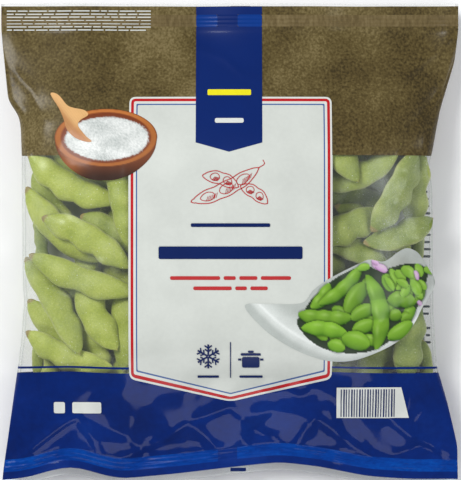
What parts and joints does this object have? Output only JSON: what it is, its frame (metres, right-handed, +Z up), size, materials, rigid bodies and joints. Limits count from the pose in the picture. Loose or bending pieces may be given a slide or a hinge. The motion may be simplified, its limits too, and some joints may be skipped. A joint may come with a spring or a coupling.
{
  "type": "pillow bag of frozen edamame pods",
  "caption": "Sealed flat-laid pillow bag of printed film, with a back fin and sealed ends, filled with soybean pods that show through clear windows.",
  "frame": {"origin": "under the middle of the bag, on the surface that it lies on", "axes": "+X across the bag, to the right as its front is read; +Y from its lower seal to its upper one; +Z up, out of its printed front"},
  "size_m": [0.2808, 0.296, 0.0549],
  "materials": {
    "film": "glossy printed plastic film with clear windows",
    "pod_skin": "frozen vegetable skin, dull with fine hair and frost"
  },
  "bodies": {
    "root": {"bag_film": "film", "inner_pods": "pod_skin", "pod_01": "pod_skin", "pod_02": "pod_skin", "pod_03": "pod_skin", "pod_04": "pod_skin", "pod_05": "pod_skin", "pod_06": "pod_skin", "pod_07": "pod_skin", "pod_08": "pod_skin", "pod_09": "pod_skin", "pod_10": "pod_skin", "pod_11": "pod_skin", "pod_12": "pod_skin", "pod_13": "pod_skin", "pod_14": "pod_skin", "pod_15": "pod_skin", "pod_16": "pod_skin", "pod_17": "pod_skin", "pod_18": "pod_skin", "pod_19": "pod_skin", "pod_20": "pod_skin", "pod_21": "pod_skin", "pod_22": "pod_skin", "pod_23": "pod_skin", "pod_24": "pod_skin", "pod_25": "pod_skin", "pod_26": "pod_skin", "pod_27": "pod_skin", "pod_28": "pod_skin", "pod_29": "pod_skin", "pod_30": "pod_skin", "pod_31": "pod_skin", "pod_32": "pod_skin", "pod_33": "pod_skin", "pod_34": "pod_skin", "pod_35": "pod_skin", "pod_36": "pod_skin", "pod_37": "pod_skin", "pod_38": "pod_skin", "pod_39": "pod_skin", "pod_40": "pod_skin", "pod_41": "pod_skin", "pod_42": "pod_skin", "pod_43": "pod_skin", "pod_44": "pod_skin", "pod_45": "pod_skin", "pod_46": "pod_skin", "pod_47": "pod_skin", "pod_48": "pod_skin", "pod_49": "pod_skin", "pod_50": "pod_skin", "pod_51": "pod_skin", "pod_52": "pod_skin", "pod_53": "pod_skin", "pod_54": "pod_skin"}
  },
  "joints": []
}
